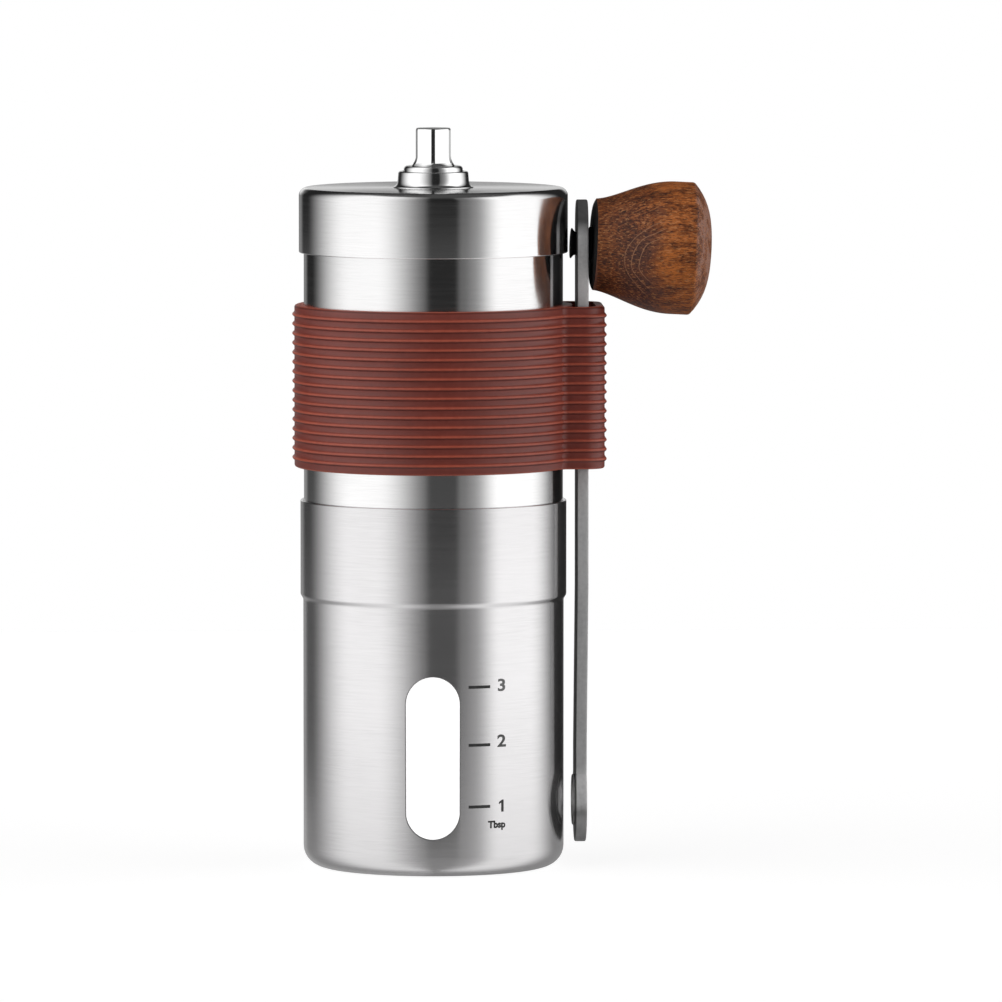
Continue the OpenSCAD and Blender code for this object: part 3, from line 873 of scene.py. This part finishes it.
# Painted light and shade by height: the hub's lower end darker with a dark line across it, a bright band
# above, the arm lighter towards the top, and its top end painted near black as shade.
painted_arm_light_and_shade = satin.colours(
    up_arm + (tumble - 0.5) * 0.02,
    (0.035, (0.5, 0.5, 0.5)), (0.072, (0.62, 0.62, 0.62)), (0.080, (0.4, 0.4, 0.4)), (0.092, (1, 1, 1)),
    (0.13, (1, 1, 1)), (0.15, (0.72, 0.72, 0.72)), (0.4, (0.82, 0.82, 0.82)), (0.7, (1, 1, 1)),
    (0.915, (1, 1, 1)), (0.935, (0.14, 0.14, 0.14)), (1, (0.11, 0.11, 0.11)),
)
# The satin grain with the painted light and shade laid over it.
grey_with_painted_shade = satin.blend(1, satin_grey, painted_arm_light_and_shade, "MULTIPLY")
satin.shader(
    Base_Color=satin.blend(painted_shade_facing_cup * 0.85, grey_with_painted_shade, (0, 0, 0, 1)),
    Metallic=0.1,
    Roughness=0.45 + tumble * 0.16,
    Normal=satin.bump(specks + tumble, 0.3, 0.00006),
)


def arc_of_verts(bm, start, centre, turn, steps):
    """Spins one vertex round a centre in the XY plane and returns the last one."""
    known = set(bm.verts)
    bmesh.ops.spin(
        bm, geom=[start], cent=(centre[0] * mm, centre[1] * mm, 0), axis=(0, 0, 1), dvec=(0, 0, 0),
        angle=turn, steps=steps,
    )
    added = [v for v in bm.verts if v not in known]
    return next(v for v in added if len(v.link_edges) == 1)


def slab(bm, depth, rounding):
    """Fills the outlines drawn on the XY plane, gives them that depth and rounds their edges."""
    bmesh.ops.triangle_fill(bm, use_beauty=True, edges=bm.edges[:], normal=(0, 0, 1))
    bmesh.ops.dissolve_limit(bm, angle_limit=radians(1), verts=bm.verts, edges=bm.edges)
    grown = bmesh.ops.extrude_face_region(bm, geom=bm.faces[:])["geom"]
    verts = [v for v in grown if isinstance(v, bmesh.types.BMVert)]
    bmesh.ops.translate(bm, vec=(0, 0, depth * mm), verts=verts)
    bmesh.ops.recalc_face_normals(bm, faces=bm.faces)
    rims = [
        e for e in bm.edges
        if len(e.link_faces) == 2 and e.calc_face_angle(0) > radians(60)
        and abs(e.verts[0].co.z - e.verts[1].co.z) < 1e-7
    ]
    bmesh.ops.bevel(
        bm, geom=rims, offset=rounding * mm, offset_type="OFFSET", segments=3,
        profile=0.5, affect="EDGES", material=-1, clamp_overlap=True,
    )


arm = bmesh.new()
half = arm_w / 2
hub_meet = atan2(sqrt(hub_r ** 2 - half ** 2), half)
start = arm.verts.new((half * mm, (hub_z + hub_r * sin(hub_meet)) * mm, 0))
end = arc_of_verts(arm, start, (0, hub_z), -(pi + 2 * hub_meet), 72)
top_left = arm.verts.new((-half * mm, (arm_top - half) * mm, 0))
arm.edges.new((end, top_left))
top_right = arc_of_verts(arm, top_left, (0, arm_top - half), -pi, 40)
arm.edges.new((top_right, start))
made = bmesh.ops.create_circle(arm, cap_ends=False, segments=6, radius=socket_r * mm)
bmesh.ops.translate(arm, vec=(0, hub_z * mm, 0), verts=made["verts"])
slab(arm, arm_t, arm_round)
boss = bmesh.new()
bmesh.ops.create_circle(boss, cap_ends=False, segments=64, radius=boss_r * mm)
bmesh.ops.create_circle(boss, cap_ends=False, segments=6, radius=socket_r * mm)
bmesh.ops.translate(boss, vec=(0, hub_z * mm, -boss_h * mm), verts=boss.verts)
slab(boss, boss_h, boss_round)
boss_mesh = bpy.data.meshes.new("boss")
boss.to_mesh(boss_mesh)
boss.free()
arm.from_mesh(boss_mesh)
bpy.data.meshes.remove(boss_mesh)
stand_up = Matrix(((0, 0, 1), (1, 0, 0), (0, 1, 0)))
bmesh.ops.rotate(arm, cent=(0, 0, 0), matrix=stand_up, verts=arm.verts)
bmesh.ops.translate(arm, vec=(arm_x * mm, 0, 0), verts=arm.verts)
for height in (set_high, set_low):
    everything = arm.verts[:] + arm.edges[:] + arm.faces[:]
    bmesh.ops.bisect_plane(arm, geom=everything, plane_co=(0, 0, height * mm), plane_no=(0, 0, 1))
for vert in arm.verts:
    lean = (set_high * mm - vert.co.z) / ((set_high - set_low) * mm)
    vert.co.x -= arm_set * mm * min(1, max(0, lean))
new_piece("crank_bar", arm, satin.owner, "crank", "arm_steel", "crank_arm")


# ---- knob axle and ferrule ----
# A blackened steel rivet carries the knob. Its tail is spread behind the arm, and a
# black disc closes the knob's end so that the wood never rubs on the steel.

axle_x = 29.8
axle_z = 115.4
droop = radians(2.8)
yaw = radians(2)
pin_r = 2.5
tail_r = 2.15
tail_end = -4.4
tail_head_r = 2.8
stop_r = 3.2
end_ring_r = 3.1
bush_end = 13.5
ferrule_in = 2.8
ferrule_face_r = 7.4
ferrule_r = 8.25
black_steel = material("blackened_steel")
scuff = black_steel.noise(1500, detail=4)
black_steel.shader(
    Base_Color=black_steel.colours(scuff, (0.35, (0.006, 0.006, 0.006)), (0.7, (0.016, 0.016, 0.017))),
    Roughness=0.55 + scuff * 0.2,
    Specular_IOR_Level=0.3,
    Normal=black_steel.bump(scuff, 0.08, 0.00003),
)


def on_knob_axis(bm):
    """Lays a piece turned about Z along the knob's drooping axis."""
    lie = Matrix.Rotation(yaw, 3, "Z") @ Matrix.Rotation(pi / 2 + droop, 3, "Y")
    bmesh.ops.rotate(bm, cent=(0, 0, 0), matrix=lie, verts=bm.verts)
    bmesh.ops.translate(bm, vec=(axle_x * mm, 0, axle_z * mm), verts=bm.verts)
    return bm


axle = turned([
    (0, tail_end, 0), (1.5, tail_end, 0.2), (tail_head_r, tail_end, 0.1),
    (tail_head_r, tail_end + 0.2, 0.1), (tail_r, tail_end + 0.7, 0.2), (tail_r, -1.05, 0),
    (stop_r, -1.05, 0.05), (stop_r, -0.55, 0.05), (pin_r, -0.55, 0), (pin_r, bush_end + 0.1, 0.1),
    (end_ring_r, bush_end + 0.1, 0.1), (pin_r, bush_end + 1.6, 0.3), (0, bush_end + 1.6, 0),
], steps=64)
new_piece("knob_rivet", on_knob_axis(axle), black_steel.owner, "crank", "blackened_steel", "knob_axle")
ferrule = turned([
    (ferrule_in, -0.45, 0.05), (ferrule_face_r, -0.45, 0.3), (ferrule_r, -0.1, 0.05),
    (ferrule_r, 0, 0), (ferrule_in, 0, 0),
], steps=128)
on_knob_axis(ferrule)
new_piece("ferrule_disc", ferrule, black_steel.owner, "knob", "blackened_steel", "knob_ferrule")


# ---- knob ----
# Turned from stained hardwood: it swells in an S from the ferrule to the palm end, then
# turns over a crisp corner into a low dome. Oil darkens its open grain; the wood is darker towards the
# ferrule end.

neck_r = 8.5
belly_r = 12.3
belly_s = 14.7
knob_l = 21.6
corner_s = 18.1
bore_r = 3.6
bore_end = 16
swell_steps = 40
dome_steps = 12
knot_at_x = 44.1
knot_at_z = 112.4

wood = material("stained_wood")
where = wood.node("TexCoord", "Object")
along_knob = (wood.node("SeparateXYZ", "X", Vector=where) - axle_x * mm) / (knob_l * mm)
fibres = wood.noise(1, wood.place((650, 3000, 3000)), detail=5, roughness=0.75)
dashes = wood.noise(1, wood.place((1000, 3600, 3600), shift=(3, 5, 7)), detail=2, roughness=0.6)
pores = wood.noise(1, wood.place((1200, 4200, 4200), shift=(9, 2, 4)), detail=2)
patches = wood.noise(1, wood.place((150, 420, 420)), detail=5, roughness=0.7)
stain = wood.noise(80, wood.place(shift=(0.3, 0.1, 0.2)), detail=3)
plain_wood = wood.colours(
    fibres * 0.6 + patches * 0.4,
    (0.40, (0.038, 0.008, 0.003)), (0.46, (0.13, 0.031, 0.008)), (0.52, (0.29, 0.075, 0.018)),
    (0.60, (0.62, 0.20, 0.055)),
)
knot_x = (wood.node("SeparateXYZ", "X", Vector=where) - knot_at_x * mm) / mm
knot_z = (wood.node("SeparateXYZ", "Z", Vector=where) - knot_at_z * mm) / mm
wander = (wood.noise(150, detail=1) - 0.5) * 3
from_knot = (knot_x * knot_x + knot_z * knot_z * 1.3).math("SQRT") + wander
ring_line = (from_knot * 4.6).math("SINE").ramp(0.86, 1.0)
left_of_knot = 1 - (knot_x - knot_z * 0.3).ramp(-5, -2)
ring_reach = from_knot.ramp(4, 6) * (1 - from_knot.ramp(8, 10.5)) * left_of_knot
# Painted sheen: a purplish grey haze on the knob's middle, patchy with the stain noise.
painted_purple_sheen = stain.ramp(0.45, 0.58) * (1 - along_knob.ramp(0.5, 0.7)) * along_knob.ramp(0.1, 0.3)
glowing = along_knob.ramp(0.42, 0.6) * 0.55 + (1 - from_knot.ramp(1.5, 4.5)) * 0.4
on_dome = along_knob.ramp(0.84, 0.88)
colour = wood.blend(painted_purple_sheen * 0.7, plain_wood, (0.10, 0.042, 0.036, 1))
# Darker towards the ferrule end.
colour = wood.blend((1 - along_knob.ramp(0.1, 0.6)) * 0.25, colour, (0.05, 0.015, 0.006, 1))
clear_grain = patches.ramp(0.42, 0.58) * 0.6 + fibres.ramp(0.4, 0.54) * 0.4
# Painted sheen: the dome is painted a lighter pinkish grey, patchy with the grain.
painted_dome_sheen = patches.ramp(0.42, 0.56) * 0.75 + 0.05
colour = wood.blend(glowing * clear_grain, colour, (0.78, 0.23, 0.045, 1))
colour = wood.blend(on_dome * painted_dome_sheen, colour, (0.44, 0.25, 0.20, 1))
colour = wood.blend(dashes.ramp(0.56, 0.64) * 0.55, colour, (0.80, 0.34, 0.13, 1))
colour = wood.blend(pores.ramp(0.55, 0.63) * (0.8 - glowing * 0.3), colour, (0.024, 0.007, 0.004, 1))
colour = wood.blend(ring_line * ring_reach * stain.ramp(0.40, 0.5) * 0.6, colour, (0.62, 0.29, 0.15, 1))
# Painted highlight: a pale pinkish line round the knob's rim at the ferrule.
painted_neck_highlight = 1 - along_knob.ramp(0.005, 0.02)
colour = wood.blend(painted_neck_highlight * 0.5, colour, (0.35, 0.16, 0.12, 1))
wood.shader(
    Base_Color=colour,
    Roughness=0.42 + fibres * 0.25,
    Specular_IOR_Level=0.4,
    Normal=wood.bump(fibres * 0.5 + pores * 0.5, 0.5, 0.0001),
)

swell = []
for step in range(swell_steps + 1):
    t = step / swell_steps
    share = (1 - cos(pi * t ** 0.8)) / 2
    swell.append((neck_r + (belly_r - neck_r) * share, belly_s * t, 0.12 if step == 0 else 0))
dome = []
for step in range(1, dome_steps + 1):
    share = 1 - step / dome_steps
    dome.append((belly_r * share, knob_l - (knob_l - corner_s) * share ** 3.2, 0))
knob = turned([
    (bore_r, 0, 0.1), *swell, (belly_r, corner_s, 0.3), *dome,
    (0, bore_end, 0), (bore_r, bore_end, 0.3),
], steps=160)
new_piece("wooden_knob", on_knob_axis(knob), wood.owner, "knob", "stained_wood", "knob")


# ---- parts inside ----
# Sintered burrs in a moulded housing, held by a retainer with screws; a shaft in brass
# bushes on a moulded bridge; the clicking nut, its springs and washers below.


def grained(name, dark, light, roughness, metallic):
    """A plain solid material with a fine grain between two colours."""
    paint = material(name)
    speckle = paint.noise(1500, detail=3)
    return paint.shader(
        Base_Color=paint.colours(speckle, (0.3, dark), (0.7, light)),
        Roughness=roughness + speckle * 0.15,
        Metallic=metallic,
        Normal=paint.bump(speckle, 0.1, 0.00003),
    )


sintered = grained("sintered_ceramic", (0.60, 0.58, 0.53), (0.76, 0.74, 0.68), 0.45, 0)
moulded = grained("moulded_black_plastic", (0.012, 0.012, 0.013), (0.03, 0.03, 0.031), 0.4, 0)
bright_steel = grained("machined_steel", (0.45, 0.45, 0.45), (0.60, 0.60, 0.60), 0.25, 1)
turned_brass = grained("turned_brass", (0.52, 0.33, 0.12), (0.70, 0.48, 0.19), 0.28, 1)
slippery = grained("moulded_acetal", (0.68, 0.68, 0.66), (0.82, 0.82, 0.80), 0.35, 0)
inside = {
    sintered: ("outer_burr", "inner_burr"),
    moulded: (
        "burr_housing", "hopper_funnel", "burr_retainer", "shaft_bridge", "lid_plug", "adjust_nut",
    ),
    bright_steel: (
        "main_shaft", "thrust_washer", "shaft_clip", "spring_washer", "click_washer", "burr_spring",
        "retainer_screws", "burr_driver",
    ),
    turned_brass: ("lower_bush", "upper_bush", "nut_insert"),
    slippery: ("knob_bush",),
}
for paint, names in inside.items():
    for name in names:
        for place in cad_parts[name].material_slots:
            place.material = paint
